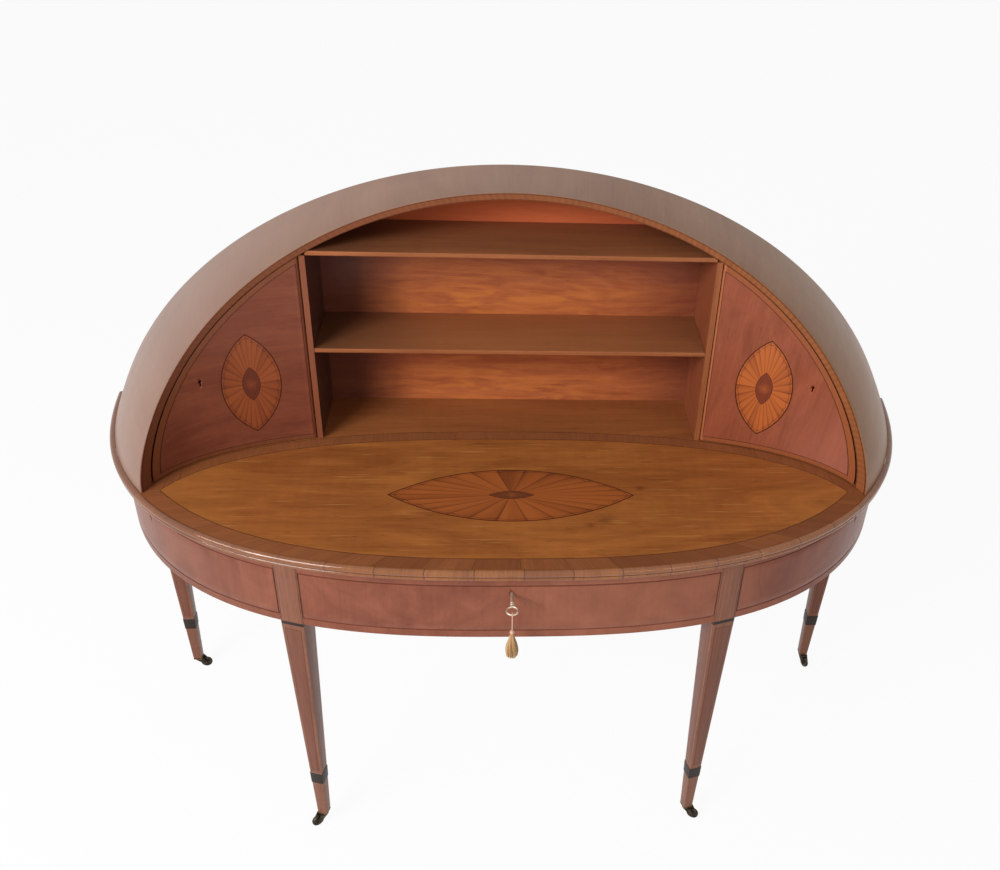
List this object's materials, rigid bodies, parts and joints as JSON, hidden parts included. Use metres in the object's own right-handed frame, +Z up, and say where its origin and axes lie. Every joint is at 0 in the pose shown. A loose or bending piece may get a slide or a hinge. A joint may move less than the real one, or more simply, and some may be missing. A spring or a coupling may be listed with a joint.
{
  "type": "carlton house desk",
  "caption": "Half-oval inlaid writing desk with an arched hood over shelves and bowed cupboards, frieze drawers and tapered legs on casters.",
  "frame": {"origin": "middle of the overall box on the floor, the key counted and its tassel not", "axes": "+X to the sitter's right along the width, +Y from the sitter to the flat back, +Z up"},
  "size_m": [1.5506, 0.5862, 1.2163],
  "materials": {
    "hood_veneer": "pale veneer, waxed",
    "door_veneer": "quarter-cut veneer with a fan inlay, waxed",
    "frieze_veneer": "veneer with dark stringing, waxed",
    "top_veneer": "veneer with a fan inlay, waxed",
    "crossband": "cross-grain veneer, waxed",
    "shelf_wood": "waxed",
    "leg_wood": "veneer with stringing and an ebony cuff, waxed",
    "drawer_lining": "bare oak",
    "carcase_wood": "bare softwood",
    "bronze": "dark and worn",
    "lock_brass": "aged",
    "key_steel": "worn smooth",
    "silk": "twisted silk yarn"
  },
  "bodies": {
    "desk": {"table_top": "top_veneer", "edge_moulding": "crossband", "top_rail_centre": "frieze_veneer", "bottom_rail_centre": "frieze_veneer", "back_rail": "carcase_wood", "hood_shell": "hood_veneer", "back_board": "shelf_wood", "shelf_lower": "shelf_wood", "shelf_upper": "shelf_wood", "top_rail_left": "frieze_veneer", "bottom_board_left": "frieze_veneer", "drawer_guide_left": "carcase_wood", "partition_left": "door_veneer", "door_pivot_left": "lock_brass", "leg_front_left": "leg_wood", "caster_front_left_plate": "bronze", "leg_rear_left": "leg_wood", "caster_rear_left_plate": "bronze", "top_rail_right": "frieze_veneer", "bottom_board_right": "frieze_veneer", "drawer_guide_right": "carcase_wood", "partition_right": "door_veneer", "door_pivot_right": "lock_brass", "leg_front_right": "leg_wood", "caster_front_right_plate": "bronze", "leg_rear_right": "leg_wood", "caster_rear_right_plate": "bronze"},
    "centre_drawer": {"centre_drawer_front": "frieze_veneer", "centre_drawer_wall_left": "drawer_lining", "centre_drawer_wall_right": "drawer_lining", "centre_drawer_back": "drawer_lining", "centre_drawer_bottom": "drawer_lining", "centre_drawer_lock": "lock_brass"},
    "key": {"drawer_key": "key_steel"},
    "tassel_body": {"tassel_cord": "silk", "tassel": "silk"},
    "side_drawer_right": {"side_drawer_front_right": "frieze_veneer", "side_drawer_inner_wall_right": "drawer_lining", "side_drawer_back_wall_right": "drawer_lining", "side_drawer_bottom_right": "drawer_lining", "side_drawer_lock_right": "lock_brass"},
    "cupboard_door_right": {"door_right": "door_veneer", "door_lock_right": "lock_brass"},
    "caster_front_right_swivel": {"caster_front_right_fork": "bronze"},
    "caster_front_right_roll": {"caster_front_right_wheel": "bronze"},
    "caster_rear_right_swivel": {"caster_rear_right_fork": "bronze"},
    "caster_rear_right_roll": {"caster_rear_right_wheel": "bronze"},
    "side_drawer_left": {"side_drawer_front_left": "frieze_veneer", "side_drawer_inner_wall_left": "drawer_lining", "side_drawer_back_wall_left": "drawer_lining", "side_drawer_bottom_left": "drawer_lining", "side_drawer_lock_left": "lock_brass"},
    "cupboard_door_left": {"door_left": "door_veneer", "door_lock_left": "lock_brass"},
    "caster_front_left_swivel": {"caster_front_left_fork": "bronze"},
    "caster_front_left_roll": {"caster_front_left_wheel": "bronze"},
    "caster_rear_left_swivel": {"caster_rear_left_fork": "bronze"},
    "caster_rear_left_roll": {"caster_rear_left_wheel": "bronze"}
  },
  "joints": [
    {"name": "centre_drawer_slide", "type": "slide", "parent": "desk", "child": "centre_drawer", "axis": [0, -1, 0], "range_m": [0, 0.3]},
    {"name": "key_turn", "type": "hinge", "parent": "centre_drawer", "child": "key", "pos_m": [0, -0.23445, 0.6752], "axis": [0, 1, 0], "range_deg": [0, 90]},
    {"name": "tassel_swing", "type": "hinge", "parent": "key", "child": "tassel_body", "pos_m": [0, -0.28835, 0.6752], "axis": [0, 1, 0], "range_deg": [-90, 90]},
    {"name": "side_drawer_slide_right", "type": "slide", "parent": "desk", "child": "side_drawer_right", "axis": [0.7625, -0.6469, 0], "range_m": [0, 0.2]},
    {"name": "door_hinge_right", "type": "hinge", "parent": "desk", "child": "cupboard_door_right", "pos_m": [0.374, 0.13312, 0.7371], "axis": [0, 0, -1], "range_deg": [0, 90]},
    {"name": "caster_turn_front_right", "type": "hinge", "parent": "desk", "child": "caster_front_right_swivel", "pos_m": [0.36915, -0.17612, 0.0284], "axis": [0, 0, 1], "continuous": true},
    {"name": "wheel_spin_front_right", "type": "hinge", "parent": "caster_front_right_swivel", "child": "caster_front_right_roll", "pos_m": [0.38319, -0.18379, 0.0125], "axis": [0.4794, 0.8776, 0], "continuous": true},
    {"name": "caster_turn_rear_right", "type": "hinge", "parent": "desk", "child": "caster_rear_right_swivel", "pos_m": [0.7163, 0.24895, 0.0284], "axis": [0, 0, 1], "continuous": true},
    {"name": "wheel_spin_rear_right", "type": "hinge", "parent": "caster_rear_right_swivel", "child": "caster_rear_right_roll", "pos_m": [0.72058, 0.23353, 0.0125], "axis": [0.9636, 0.2675, 0], "continuous": true},
    {"name": "side_drawer_slide_left", "type": "slide", "parent": "desk", "child": "side_drawer_left", "axis": [-0.7625, -0.6469, 0], "range_m": [0, 0.2]},
    {"name": "door_hinge_left", "type": "hinge", "parent": "desk", "child": "cupboard_door_left", "pos_m": [-0.374, 0.13312, 0.7371], "axis": [0, 0, 1], "range_deg": [0, 90]},
    {"name": "caster_turn_front_left", "type": "hinge", "parent": "desk", "child": "caster_front_left_swivel", "pos_m": [-0.36915, -0.17612, 0.0284], "axis": [0, 0, 1], "continuous": true},
    {"name": "wheel_spin_front_left", "type": "hinge", "parent": "caster_front_left_swivel", "child": "caster_front_left_roll", "pos_m": [-0.38197, -0.18569, 0.0125], "axis": [0.5985, -0.8011, 0], "continuous": true},
    {"name": "caster_turn_rear_left", "type": "hinge", "parent": "desk", "child": "caster_rear_left_swivel", "pos_m": [-0.7163, 0.24895, 0.0284], "axis": [0, 0, 1], "continuous": true},
    {"name": "wheel_spin_rear_left", "type": "hinge", "parent": "caster_rear_left_swivel", "child": "caster_rear_left_roll", "pos_m": [-0.70038, 0.25055, 0.0125], "axis": [-0.0998, 0.995, 0], "continuous": true}
  ],
  "couplings": [
    {"joint": "tassel_swing", "follows": "key_turn", "ratio": -1}
  ]
}
